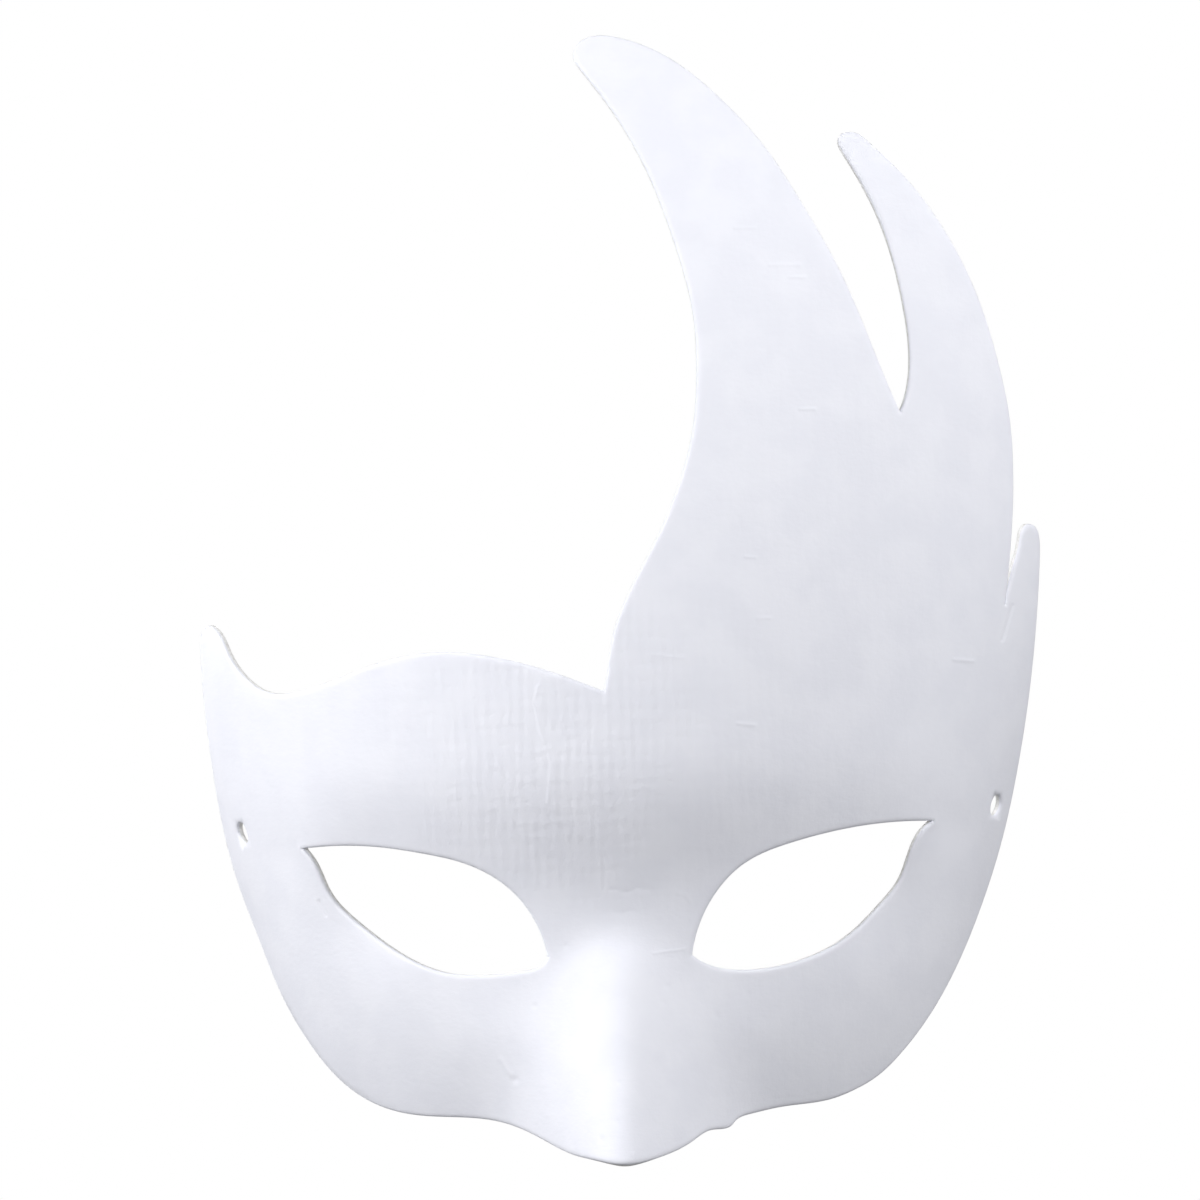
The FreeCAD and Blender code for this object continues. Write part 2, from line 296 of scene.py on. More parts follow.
@dataclass(frozen=True)
class CutPattern:
    """Every cut edge of the mask in the front view, in millimetres."""

    big_flame: Pairs = (
        (-1.1, 29.4), (-0.2, 33.0), (0.5, 37.5), (4.1, 47.9), (11.0, 60.3),
        (16.2, 71.8), (19.4, 82.5), (20.6, 93.0), (20.4, 107.0), (17.1, 122.0),
        (10.4, 140.8), (2.3, 154.9), (-1.8, 160.6), (-3.2, 163.7), (-2.6, 165.6),
        (0.3, 167.5), (6.3, 167.2), (15.3, 163.5), (27.7, 153.2), (37.8, 140.9),
        (43.7, 130.9), (51.5, 115.7), (60.2, 92.7), (63.2, 85.0),
    )
    second_flame: Pairs = (
        (63.2, 85.0), (65.2, 90.5), (65.9, 98.0), (64.9, 108.5), (61.3, 124.0),
        (56.3, 135.5), (53.1, 141.3), (52.5, 143.2), (53.2, 144.6), (55.0, 145.0),
        (56.6, 144.7), (58.8, 143.0), (65.3, 136.4), (75.4, 121.8), (81.3, 108.4),
        (85.4, 93.0), (86.9, 84.1), (87.4, 72.0), (86.3, 55.8), (84.5, 43.3),
    )
    face_edge: Pairs = (
        (84.5, 43.3), (86.5, 50.4), (88.5, 56.8), (89.2, 59.2), (90.5, 60.1),
        (91.9, 59.6), (92.8, 57.3), (92.8, 52.2), (91.7, 39.4), (90.1, 26.5),
        (87.0, 9.2), (82.7, -7.9), (76.3, -24.7), (67.4, -40.9), (58.4, -51.6),
        (53.6, -55.5), (47.8, -58.1), (43.5, -59.2), (32.9, -59.6), (26.1, -60.3),
        (23.2, -61.2), (22.3, -62.1), (18.2, -62.2), (14.2, -63.7), (7.7, -65.3),
        (0.8, -65.8), (-6.7, -65.2), (-11.1, -64.8), (-18.0, -62.6), (-25.4, -60.3),
        (-33.0, -59.6), (-43.9, -59.7), (-51.9, -58.6), (-57.3, -56.4), (-63.8, -51.4),
        (-68.4, -45.9), (-73.8, -37.5), (-80.2, -21.8), (-83.3, -13.3), (-86.0, -2.0),
        (-88.0, 15.8), (-88.8, 33.3), (-88.7, 40.5), (-88.0, 43.8), (-86.6, 45.0),
        (-84.9, 44.2), (-82.2, 39.4), (-77.6, 33.1), (-74.2, 31.0), (-70.1, 30.3),
        (-65.5, 31.0), (-57.2, 33.5), (-49.2, 36.3), (-43.4, 37.7), (-37.0, 38.4),
        (-30.6, 38.2), (-22.2, 36.8), (-14.0, 34.5), (-5.8, 31.4), (-1.1, 29.4),
    )
    left_lids: tuple[Pairs, Pairs] = (
        ((-66.9, -2.8), (-60.5, -2.2), (-48.0, -2.6), (-40.9, -3.7), (-33.7, -5.3),
         (-27.7, -7.7), (-21.8, -12.0), (-17.2, -18.5), (-15.0, -25.6)),
        ((-66.9, -2.8), (-63.8, -7.3), (-61.8, -12.0), (-55.3, -18.8), (-45.0, -25.6),
         (-36.0, -28.8), (-28.6, -29.2), (-20.3, -28.5), (-16.3, -27.2), (-15.0, -25.6)),
    )
    right_lids: tuple[Pairs, Pairs] = (
        ((67.0, -1.8), (60.6, -1.4), (48.6, -2.0), (36.8, -4.2), (26.8, -8.0),
         (20.8, -13.6), (16.8, -20.7), (15.3, -26.3)),
        ((67.0, -1.8), (63.7, -4.9), (61.6, -9.3), (59.5, -14.0), (55.3, -18.6),
         (49.8, -23.4), (39.9, -28.2), (28.1, -30.0), (19.6, -28.8), (15.3, -26.3)),
    )
    hole_radius: float = 2.35
    hole_points: int = 48
    spacing: float = 0.55

    def outline(self) -> np.ndarray:
        """The outer edge, three strokes that meet at the notch and the two slits."""
        strokes = (self.big_flame, self.second_flame, self.face_edge)
        return np.concatenate([spline_through(stroke, self.spacing)[:-1] for stroke in strokes])

    def eye(self, lids: tuple[Pairs, Pairs]) -> np.ndarray:
        """An eye opening: out along the upper lid and back along the lower one."""
        upper, lower = (spline_through(lid, self.spacing) for lid in lids)
        return np.concatenate([upper[:-1], lower[:0:-1]])

    def cord_hole(self, front: MouldedFront, side: int) -> np.ndarray:
        """The mouth of a bore square to the wall: a circle seen in the front view.

        Args:
            front: the surface that the bore goes through.
            side: -1 for the left hole, 1 for the right one.

        Returns:
            The mouth as a closed loop of (x, z) pairs.
        """
        middle = np.array([side * front.hole_spread / 2, 0.0])
        axis = Vector(front.normal(middle[None])[0])
        first = np.array(axis.orthogonal().normalized())
        second = np.cross(axis, first)
        turn = np.linspace(0.0, TURN, self.hole_points, endpoint=False)[:, None]
        ring = self.hole_radius * (np.cos(turn) * first + np.sin(turn) * second)
        return middle + ring[:, [0, 2]]

    def loops(self, front: MouldedFront) -> list[np.ndarray]:
        """All cut edges.

        Args:
            front: the surface that the pattern lies on.

        Returns:
            Closed loops that keep the paper on their left, the outer edge first.
        """
        outline = self.outline()
        openings = [self.eye(lids) for lids in (self.left_lids, self.right_lids)]
        openings += [self.cord_hole(front, side) for side in (-1, 1)]
        outer = outline if signed_area(outline) > 0 else outline[::-1]
        return [outer] + [hole if signed_area(hole) < 0 else hole[::-1] for hole in openings]


# --- Paper sheets over the pattern -----------------------------------------


@dataclass(frozen=True)
class Patch:
    """A box of the pattern, in millimetres, where the triangles are finer."""

    low: tuple[float, float]
    high: tuple[float, float]
    grid: float

    def holds(self, flat: np.ndarray) -> np.ndarray:
        """Which (x, z) pairs lie in the box."""
        return np.all((flat > self.low) & (flat < self.high), axis=1)


@dataclass(frozen=True)
class Sheet:
    """Triangles over the cut pattern, ready to be laid on any surface of the wall.

    Each point has its (x, z) pair and its distance to the nearest cut edge,
    and each cut edge is a row of point numbers in rims.
    """

    flat: np.ndarray
    rim_distance: np.ndarray
    triangles: np.ndarray
    rims: list[np.ndarray]


@dataclass(frozen=True)
class SheetCutter:
    """Cuts a sheet: rings of points that follow every edge, and an even grid inside."""

    front: MouldedFront
    loops: list[np.ndarray]
    grid: float
    rings: tuple[float, ...]
    patches: tuple[Patch, ...] = ()
    corner_turn: float = math.radians(35)
    corner_points: int = 24
    ring_slack: float = 0.93
    grid_gap: float = 0.55
    merge_distance: float = 1e-6
    batch: int = 4000

    def to_rim(self, flat: np.ndarray) -> np.ndarray:
        """Distance from places on the front to the nearest cut edge.

        It is the straight distance in space to the nearest point of the
        edges, |p|^2 + |e|^2 - 2 p.e for a batch of places at once.

        Args:
            flat: (x, z) pairs, one a row.

        Returns:
            The distance of each pair.
        """
        edge = self.front.place(np.concatenate(self.loops), 0.0)
        space = self.front.place(flat, 0.0)
        edge_square = np.sum(edge**2, axis=1)
        found = []
        for part in np.array_split(space, max(1, len(space) // self.batch)):
            square = np.sum(part**2, axis=1)[:, None] + edge_square - 2 * part @ edge.T
            found.append(np.sqrt(np.maximum(square.min(axis=1), 0.0)))
        return np.concatenate(found)

    def covers(self, flat: np.ndarray) -> np.ndarray:
        """Which places lie on paper: an odd number of cut edges crosses their row further right.

        Args:
            flat: (x, z) pairs, one a row.

        Returns:
            True for each pair that lies on paper.
        """
        start = np.concatenate(self.loops)
        run = np.concatenate([np.roll(loop, -1, axis=0) for loop in self.loops]) - start
        slant = run[:, 0] / np.where(run[:, 1] == 0, 1.0, run[:, 1])
        found = []
        for part in np.array_split(flat, max(1, len(flat) // self.batch)):
            x, z = part[:, :1], part[:, 1:]
            crossed = (start[:, 1] > z) != (start[:, 1] + run[:, 1] > z)
            right = x < start[:, 0] + (z - start[:, 1]) * slant
            found.append(np.sum(crossed & right, axis=1) % 2 == 1)
        return np.concatenate(found)

    def ring(self, loop: np.ndarray, offset: float) -> np.ndarray:
        """Points that follow one loop at an offset along the paper.

        Each stands off to the left of the loop by offset / sqrt(1 + slope^2),
        where slope is how steeply the front falls away in that direction.

        Args:
            loop: a closed cut edge.
            offset: how far in from it.

        Returns:
            One (x, z) pair for each point of the loop.
        """
        ahead = np.roll(loop, -1, axis=0) - np.roll(loop, 1, axis=0)
        inward = np.column_stack([-ahead[:, 1], ahead[:, 0]])
        inward /= np.linalg.norm(inward, axis=1, keepdims=True)
        probe = loop + inward * self.front.probe
        fall = (self.front.depth(*probe.T) - self.front.depth(*loop.T)) / self.front.probe
        return loop + inward * (offset / np.sqrt(1 + fall**2))[:, None]

    def corner_fan(self, loop: np.ndarray, offset: float) -> np.ndarray:
        """Circles of points round the sharp corners of one loop.

        Args:
            loop: a closed cut edge.
            offset: radius of the circles.

        Returns:
            The (x, z) pairs, none if no corner is sharp.
        """
        behind = loop - np.roll(loop, 1, axis=0)
        ahead = np.roll(loop, -1, axis=0) - loop
        turn = np.arctan2(
            behind[:, 0] * ahead[:, 1] - behind[:, 1] * ahead[:, 0],
            np.sum(behind * ahead, axis=1),
        )
        corners = loop[np.abs(turn) > self.corner_turn]
        angle = np.linspace(0.0, TURN, self.corner_points, endpoint=False)
        circle = offset * np.column_stack([np.cos(angle), np.sin(angle)])
        return (corners[:, None] + circle).reshape(-1, 2)

    def even_grid(self, low: np.ndarray, high: np.ndarray, grid: float) -> np.ndarray:
        """Points of even triangles, laid out along the paper and not along x.

        Args:
            low: lowest (x, z) of the area.
            high: highest (x, z) of the area.
            grid: side of a triangle.

        Returns:
            The points as (x, z) pairs.
        """
        x_table, paper_table = self.front.unrolled()
        start, stop = np.interp([low[0], high[0]], x_table, paper_table)
        paper, z = np.meshgrid(
            np.arange(start, stop, grid), np.arange(low[1], high[1], grid * math.sqrt(3) / 2)
        )
        paper[1::2] += grid / 2
        return np.column_stack([np.interp(paper.ravel(), paper_table, x_table), z.ravel()])

    def inner_points(self) -> np.ndarray:
        """Every point that is not on a cut edge: rings, corner fans, grid and patches."""
        points = []
        for offset in self.rings:
            rows = [self.ring(loop, offset) for loop in self.loops]
            rows += [self.corner_fan(loop, offset) for loop in self.loops]
            row = np.concatenate(rows)
            points.append(row[self.to_rim(row) > self.ring_slack * offset])
        grid = self.even_grid(self.loops[0].min(axis=0), self.loops[0].max(axis=0), self.grid)
        for patch in self.patches:
            grid = grid[~patch.holds(grid)]
        for index, patch in enumerate(self.patches):
            fine = self.even_grid(patch.low, patch.high, patch.grid)
            for earlier in self.patches[:index]:
                fine = fine[~earlier.holds(fine)]
            grid = np.concatenate([grid, fine])
        points.append(grid[self.to_rim(grid) > self.rings[-1] + self.grid_gap * self.grid])
        inner = np.concatenate(points)
        return inner[self.covers(inner)]

    def cut(self) -> Sheet:
        """Join the points into triangles that respect every cut edge.

        Returns:
            The sheet, its triangles anticlockwise in the front view.
        """
        counts = [len(loop) for loop in self.loops]
        starts = np.cumsum([0] + counts[:-1])
        rims = [start + np.arange(count) for start, count in zip(starts, counts)]
        edges = np.concatenate([np.column_stack([rim, np.roll(rim, -1)]) for rim in rims])
        flat = np.concatenate(self.loops + [self.inner_points()])
        x_table, paper_table = self.front.unrolled()
        unrolled = np.column_stack([np.interp(flat[:, 0], x_table, paper_table), flat[:, 1]])
        every_triangle = 0
        result = delaunay_2d_cdt(unrolled.tolist(), edges.tolist(), [], every_triangle, self.merge_distance)
        source = np.fromiter(map(min, result[3]), dtype=int)
        triangles = source[np.array(result[2])]
        spanning = np.flatnonzero(np.all(triangles < sum(counts), axis=1))
        off_paper = ~self.covers(flat[triangles[spanning]].mean(axis=1))
        triangles = np.delete(triangles, spanning[off_paper], axis=0)
        corner = flat[triangles]
        side, other = corner[:, 1] - corner[:, 0], corner[:, 2] - corner[:, 0]
        clockwise = side[:, 0] * other[:, 1] - side[:, 1] * other[:, 0] < 0
        triangles[clockwise] = triangles[clockwise, ::-1]
        used, triangles = np.unique(triangles, return_inverse=True)
        flat = flat[used]
        distance = self.to_rim(flat)
        return Sheet(flat, distance, triangles.reshape(-1, 3), rims)


# --- The surface of the paper ----------------------------------------------


class Mark(Enum):
    """Kinds of line that pasted paper shows, by the shape of their section."""

    RIDGE = "ridge"
    GROOVE = "groove"
    LAP = "lap"


@dataclass(frozen=True)
class Crease:
    """A thin line pressed into or standing out of the paper, in millimetres."""

    path: Pairs
    kind: Mark
    width: float
    height: float

    def patch(self) -> Patch:
        """The paper within three widths of the path, with triangles smaller than a width."""
        path, margin = np.array(self.path), 3 * self.width + PATCH_MARGIN
        return Patch(tuple(path.min(axis=0) - margin), tuple(path.max(axis=0) + margin), 0.8 * self.width)

    def relief(self, flat: np.ndarray) -> np.ndarray:
        """Height over the paper.

        With d the distance to the path and s its side, a ridge is
        height * exp(-(d/width)^2), a groove its negative, and a lap a step
        height * (1 + tanh(s*d/width)) / 2 that dies out within twelve widths.

        Args:
            flat: (x, z) pairs, one a row.

        Returns:
            The height at each pair.
        """
        path = np.array(self.path)
        start, run = path[:-1], np.diff(path, axis=0)
        offset = flat[:, None] - start
        share = np.clip(np.sum(offset * run, axis=2) / np.sum(run**2, axis=1), 0.0, 1.0)
        gap = offset - share[..., None] * run
        distance = np.linalg.norm(gap, axis=2)
        nearest = distance.argmin(axis=1)[:, None]
        distance = np.take_along_axis(distance, nearest, axis=1)[:, 0]
        if self.kind is Mark.LAP:
            cross = run[:, 0] * gap[..., 1] - run[:, 1] * gap[..., 0]
            side = np.sign(np.take_along_axis(cross, nearest, axis=1)[:, 0])
            step = (1 + np.tanh(side * distance / self.width)) / 2
            return self.height * step * bell(distance / (6 * self.width))
        sign = 1.0 if self.kind is Mark.RIDGE else -1.0
        return sign * self.height * bell(distance / self.width)


@dataclass(frozen=True)
class Dimple:
    """A round dent, or a bump if its height is positive, in millimetres."""

    at: tuple[float, float]
    radius: float
    height: float

    def patch(self) -> Patch:
        """The paper within two radii of the middle, with triangles of half a radius."""
        middle, margin = np.array(self.at), 2 * self.radius + PATCH_MARGIN
        return Patch(tuple(middle - margin), tuple(middle + margin), 0.5 * self.radius)

    def relief(self, flat: np.ndarray) -> np.ndarray:
        """Height over the paper, a bell about its middle."""
        return self.height * bell(np.linalg.norm(flat - self.at, axis=1) / self.radius)


@dataclass(frozen=True)
class Ripple:
    """Broad unevenness of a wet moulded sheet: a few crossed waves of random bearing.

    Each wave is as long as one of the lengths, and its crests wander along a
    second wave that is cross times as long.
    """

    height: float
    lengths: tuple[float, ...]
    seed: int
    cross: float = 1.7

    def relief(self, flat: np.ndarray) -> np.ndarray:
        """Height over the paper, the mean of sines along several bearings.

        Args:
            flat: (x, z) pairs, one a row.

        Returns:
            The height at each pair.
        """
        draw = np.random.default_rng(self.seed)
        total = np.zeros(len(flat))
        for length in self.lengths:
            bearing, shift, cross_shift = draw.uniform(0.0, TURN, 3)
            along = flat @ [math.cos(bearing), math.sin(bearing)]
            across = flat @ [-math.sin(bearing), math.cos(bearing)]
            wobble = np.sin(TURN * across / (self.cross * length) + cross_shift)
            total += np.sin(TURN * along / length + shift + wobble)
        return self.height * total / len(self.lengths)


@dataclass(frozen=True)
class Rim:
    """The rounding of a cut edge: an oval corner, reach along the paper and drop into it."""

    reach: float
    drop: float

    def inset(self, distance: np.ndarray) -> np.ndarray:
        """Depth below the flat of the paper, drop * (1 - sqrt(1 - (1 - d/reach)^2))."""
        share = 1 - np.clip(distance / self.reach, 0.0, 1.0)
        return self.drop * (1 - np.sqrt(1 - share**2))

    def nearness(self, distance: np.ndarray) -> np.ndarray:
        """1 at the cut edge and 0 past the rounding, by a smooth step."""
        return 1 - smooth_step(distance / self.reach)


@dataclass(frozen=True)
class Wall:
    """The laminate: three plies between a rounded front and a rounded back."""

    front: MouldedFront
    facing: float = 0.3
    core: float = 1.1
    lining: float = 0.3
    thinned: float = 0.12
    front_rim: Rim = Rim(reach=1.0, drop=0.6)
    back_rim: Rim = Rim(reach=0.6, drop=0.3)

    def depths(self, distance: np.ndarray) -> list[np.ndarray]:
        """Inset of the four surfaces: front, under the facing, over the lining, back.

        The skins thin down towards the cut edge, so the core shows there.

        Args:
            distance: how far each point is from the cut edge.

        Returns:
            Four arrays of insets from the front, in that order.
        """
        whole = self.facing + self.core + self.lining
        near = self.front_rim.nearness(distance)
        skin = self.facing + (self.thinned - self.facing) * near
        back_skin = self.lining + (self.thinned - self.lining) * near
        top = self.front_rim.inset(distance)
        bottom = whole - self.back_rim.inset(distance)
        return [top, top + skin, bottom - back_skin, bottom]

    def surface(self, sheet: Sheet, level: int, relief: np.ndarray | float = 0.0) -> np.ndarray:
        """Lay a sheet on one of the four surfaces.

        Args:
            sheet: the triangles to lay.
            level: 0 for the front, up to 3 for the back.
            relief: height to add towards the front.

        Returns:
            The points in space, in millimetres.
        """
        return self.front.place(sheet.flat, self.depths(sheet.rim_distance)[level] - relief)


def closed_ply(
    name: str, top: tuple[Sheet, np.ndarray], bottom: tuple[Sheet, np.ndarray]
) -> bpy.types.Object:
    """Join two laid sheets along every cut edge into one closed piece.

    Args:
        name: name of the piece.
        top: the sheet towards the front and its points.
        bottom: the sheet towards the back and its points.

    Returns:
        The new object, smooth but for its sharp corners.
    """
    (top_sheet, top_points), (bottom_sheet, bottom_points) = top, bottom
    shift = len(top_points)
    points = np.concatenate([top_points, bottom_points]) * MM
    faces = [top_sheet.triangles, bottom_sheet.triangles[:, ::-1] + shift]
    for upper, lower in zip(top_sheet.rims, bottom_sheet.rims):
        lower = lower + shift
        next_upper, next_lower = np.roll(upper, -1), np.roll(lower, -1)
        faces.append(np.column_stack([next_upper, upper, lower]))
        faces.append(np.column_stack([next_upper, lower, next_lower]))
    triangles = np.concatenate(faces)
    mesh = bpy.data.meshes.new(name)
    mesh.vertices.add(len(points))
    mesh.vertices.foreach_set("co", points.ravel())
    mesh.loops.add(triangles.size)
    mesh.loops.foreach_set("vertex_index", triangles.ravel())
    mesh.polygons.add(len(triangles))
    mesh.polygons.foreach_set("loop_start", np.arange(0, triangles.size, 3))
    mesh.update(calc_edges=True)
    mesh.validate()
    mesh.polygons.foreach_set("use_smooth", np.ones(len(triangles), dtype=bool))
    mesh.set_sharp_from_angle(angle=SHARP_CORNER)
    piece = bpy.data.objects.new(name, mesh)
    bpy.context.scene.collection.objects.link(piece)
    return piece


# --- Finishes ---------------------------------------------------------------


class NodeTree:
    """A short hand for building one material's nodes."""

    def __init__(self, name: str) -> None:
        """Start a material with only its output."""
        self.material = bpy.data.materials.new(name)
        self.material.use_nodes = True
        self.tree = self.material.node_tree
        self.tree.nodes.clear()
        self.coordinates = self.node("ShaderNodeTexCoord").outputs["Object"]

    def node(self, kind: str, settings: dict | None = None, **inputs: object) -> bpy.types.Node:
        """Add a node.

        Args:
            kind: its type.
            settings: properties to set on it.
            inputs: values or sockets for its inputs, with _ for a space.

        Returns:
            The node.
        """
        made = self.tree.nodes.new(kind)
        for key, value in (settings or {}).items():
            setattr(made, key, value)
        for key, value in inputs.items():
            self.feed(made.inputs[key.replace("_", " ")], value)
        return made

    def feed(self, socket: bpy.types.NodeSocket, value: object) -> None:
        """Link a socket to an input, or set the input's own value."""
        if isinstance(value, bpy.types.NodeSocket):
            self.tree.links.new(value, socket)
        else:
            socket.default_value = value

    def math(self, operation: str, first: object, second: object = 0.0) -> bpy.types.NodeSocket:
        """Result of a maths node."""
        made = self.node("ShaderNodeMath", {"operation": operation})
        self.feed(made.inputs[0], first)
        self.feed(made.inputs[1], second)
        return made.outputs[0]

    def noise(
        self, scale: float, detail: float = 2.0, stretch: Triple = (1.0, 1.0, 1.0)
    ) -> bpy.types.NodeSocket:
        """Soft noise, scale in clouds per metre and stretch along each axis."""
        placed = self.node("ShaderNodeMapping", Vector=self.coordinates, Scale=stretch)
        made = self.node("ShaderNodeTexNoise", Vector=placed.outputs[0], Scale=scale, Detail=detail)
        return made.outputs["Fac"]

    def range(
        self, value: object, low: float, high: float, to_low: float, to_high: float
    ) -> bpy.types.NodeSocket:
        """A value carried from one range to another and held at its ends."""
        made = self.node("ShaderNodeMapRange", {"interpolation_type": "SMOOTHSTEP"}, Value=value)
        for key, number in zip(("From Min", "From Max", "To Min", "To Max"), (low, high, to_low, to_high)):
            made.inputs[key].default_value = number
        return made.outputs[0]

    def tint(self, share: object, first: Rgb, second: Rgb) -> bpy.types.NodeSocket:
        """Blend of two colours, which are sockets 6 and 7 of the node and give its output 2."""
        made = self.node("ShaderNodeMix", {"data_type": "RGBA"})
        self.feed(made.inputs["Factor"], share)
        made.inputs[6].default_value = (*first, 1.0)
        made.inputs[7].default_value = (*second, 1.0)
        return made.outputs[2]

    def sheen(self, spots: object, middle: float, spread: float) -> bpy.types.NodeSocket:
        """Roughness that wanders with a noise, by spread to either side of its middle value."""
        return self.range(spots, 0.3, 0.7, middle - spread, middle + spread)

    def waves(self, pitches: dict[str, float], wobble: object) -> list[bpy.types.NodeSocket]:
        """Sine waves along axes of the piece.

        Args:
            pitches: the wave's length in metres, for each axis.
            wobble: a shift in radians that the waves share.

        Returns:
            One wave for each axis.
        """
        parts = self.node("ShaderNodeSeparateXYZ", Vector=self.coordinates)
        made = []
        for axis, pitch in pitches.items():
            turns = self.math("MULTIPLY", parts.outputs[axis], TURN / pitch)
            made.append(self.math("SINE", self.math("ADD", turns, wobble)))
        return made

    def bump(self, height: object, distance: float, under: object | None = None) -> bpy.types.NodeSocket:
        """Bump of a height field, its full height in metres, over another bump."""
        made = self.node("ShaderNodeBump", Height=height, Distance=distance)
        made.inputs["Strength"].default_value = 1.0
        if under is not None:
            self.feed(made.inputs["Normal"], under)
        return made.outputs[0]

    def finish(self, **inputs: object) -> bpy.types.Material:
        """Close the tree with a shader that takes these inputs."""
        shader = self.node("ShaderNodeBsdfPrincipled", **inputs)
        output = self.node("ShaderNodeOutputMaterial")
        self.tree.links.new(shader.outputs[0], output.inputs["Surface"])
        return self.material


@dataclass(frozen=True)
class FacingFinish:
    """Smooth white facing paper: soft clouds, faint ribs at the brow, fine fibre."""

    light: Rgb = (0.866, 0.876, 0.945)
    shade: Rgb = (0.838, 0.849, 0.922)
    roughness: float = 0.6
    roughness_spread: float = 0.07
    cloud_scale: float = 95.0
    sheen_scale: float = 420.0
    rib_pitch: float = 2.3 * MM
    row_pitch: float = 3.0 * MM
    row_share: float = 0.7
    rib_height: float = 0.03 * MM
    rib_middle: Triple = (-0.010, -0.040, 0.022)
    rib_reach: float = 0.052
    wobble: float = 5.0
    wobble_scale: float = 160.0
    break_scale: float = 330.0
    fibre_height: float = 0.016 * MM
    fibre_scale: float = 1900.0
    mottle_height: float = 0.05 * MM
    mottle_scale: float = 230.0
    fleck_height: float = 0.04 * MM
    fleck_scale: float = 560.0

    def material(self) -> bpy.types.Material:
        """Build the finish."""
        nodes = NodeTree("white_facing_paper")
        clouds = nodes.noise(self.cloud_scale, 4.0)
        colour = nodes.tint(nodes.range(clouds, 0.35, 0.65, 0.0, 1.0), self.shade, self.light)
        roughness = nodes.sheen(nodes.noise(self.sheen_scale), self.roughness, self.roughness_spread)
        mottle = nodes.bump(nodes.noise(self.mottle_scale, 3.0), self.mottle_height)
        ribs = nodes.bump(self.ribs(nodes), self.rib_height, mottle)
        fleck_noise = nodes.noise(self.fleck_scale, 3.0, (1.0, 1.0, 2.0))
        flecks = nodes.bump(fleck_noise, self.fleck_height, ribs)
        fibre_noise = nodes.noise(self.fibre_scale, 4.0, (1.0, 1.0, 0.45))
        fibre = nodes.bump(fibre_noise, self.fibre_height, flecks)
        return nodes.finish(Base_Color=colour, Roughness=roughness, Normal=fibre, IOR=PAPER_IOR)

    def ribs(self, nodes: NodeTree) -> bpy.types.NodeSocket:
        """Upright ribs crossed by rows, broken up by a noise and strongest at the middle of the brow.

        Args:
            nodes: the tree to add them to.

        Returns:
            Their height, in heights of a rib.
        """
        wobble = nodes.math("MULTIPLY", nodes.noise(self.wobble_scale), self.wobble)
        upright, level = nodes.waves({"X": self.rib_pitch, "Z": self.row_pitch}, wobble)
        away = nodes.node("ShaderNodeVectorMath", {"operation": "DISTANCE"})
        nodes.feed(away.inputs[0], nodes.coordinates)
        nodes.feed(away.inputs[1], self.rib_middle)
        strength = nodes.range(away.outputs["Value"], 0.3 * self.rib_reach, self.rib_reach, 1.0, 0.12)
        broken = nodes.range(nodes.noise(self.break_scale), 0.38, 0.62, 0.25, 1.0)
        crossed = nodes.math("ADD", upright, nodes.math("MULTIPLY", level, self.row_share))
        return nodes.math("MULTIPLY", crossed, nodes.math("MULTIPLY", strength, broken))


@dataclass(frozen=True)
class PulpFinish:
    """Raw pressed pulp, seen only where the wall is cut: fibrous, grey-white and greyer than the facing,
    partly its own tone and partly painted shade on the cut walls.
    """

    # Both tints are greyer than the facing: in part the pulp's own grey, in part painted shade that darkens
    # the cut walls of the rims.
    light: Rgb = (0.86, 0.86, 0.865)
    shade: Rgb = (0.74, 0.735, 0.73)
    roughness: float = 0.85
    roughness_spread: float = 0.08
    fleck_scale: float = 1400.0
    fibre_height: float = 0.05 * MM
    fibre_scale: float = 1700.0

    def material(self) -> bpy.types.Material:
        """Build the finish."""
        nodes = NodeTree("paper_pulp_and_painted_edge_shade")
        flecks = nodes.noise(self.fleck_scale, 5.0)
        colour = nodes.tint(nodes.range(flecks, 0.35, 0.65, 0.0, 1.0), self.shade, self.light)
        fibre = nodes.bump(nodes.noise(self.fibre_scale, 5.0, (1.0, 1.0, 0.4)), self.fibre_height)
        roughness = nodes.sheen(flecks, self.roughness, self.roughness_spread)
        return nodes.finish(Base_Color=colour, Roughness=roughness, Normal=fibre, IOR=PAPER_IOR)


@dataclass(frozen=True)
class LiningFinish:
    """Back paper that keeps the print of the forming screen, off-white and fibrous."""

    light: Rgb = (0.80, 0.795, 0.785)
    shade: Rgb = (0.69, 0.68, 0.66)
    roughness: float = 0.8
    roughness_spread: float = 0.08
    cloud_scale: float = 140.0
    sheen_scale: float = 500.0
    mesh_pitch: float = 1.5 * MM
    mesh_height: float = 0.045 * MM
    wobble: float = 6.0
    wobble_scale: float = 90.0
    fibre_height: float = 0.05 * MM
    fibre_scale: float = 1500.0
    lump_height: float = 0.16 * MM
    lump_scale: float = 260.0

    def material(self) -> bpy.types.Material:
        """Build the finish."""
        nodes = NodeTree("screen_printed_lining_paper")
        clouds = nodes.noise(self.cloud_scale, 5.0)
        colour = nodes.tint(nodes.range(clouds, 0.32, 0.68, 0.0, 1.0), self.shade, self.light)
        roughness = nodes.sheen(nodes.noise(self.sheen_scale), self.roughness, self.roughness_spread)
        lumps = nodes.bump(nodes.noise(self.lump_scale, 3.0), self.lump_height)
        mesh = nodes.bump(self.screen(nodes), self.mesh_height, lumps)
        fibre = nodes.bump(nodes.noise(self.fibre_scale, 5.0, (0.5, 1.0, 1.0)), self.fibre_height, mesh)
        return nodes.finish(Base_Color=colour, Roughness=roughness, Normal=fibre, IOR=PAPER_IOR)

    def screen(self, nodes: NodeTree) -> bpy.types.NodeSocket:
        """Print of a woven screen: the product of two crossed waves."""
        wobble = nodes.math("MULTIPLY", nodes.noise(self.wobble_scale, 1.0), self.wobble)
        return nodes.math("MULTIPLY", *nodes.waves({"X": self.mesh_pitch, "Z": self.mesh_pitch}, wobble))


# --- The mask ----------------------------------------------------------------


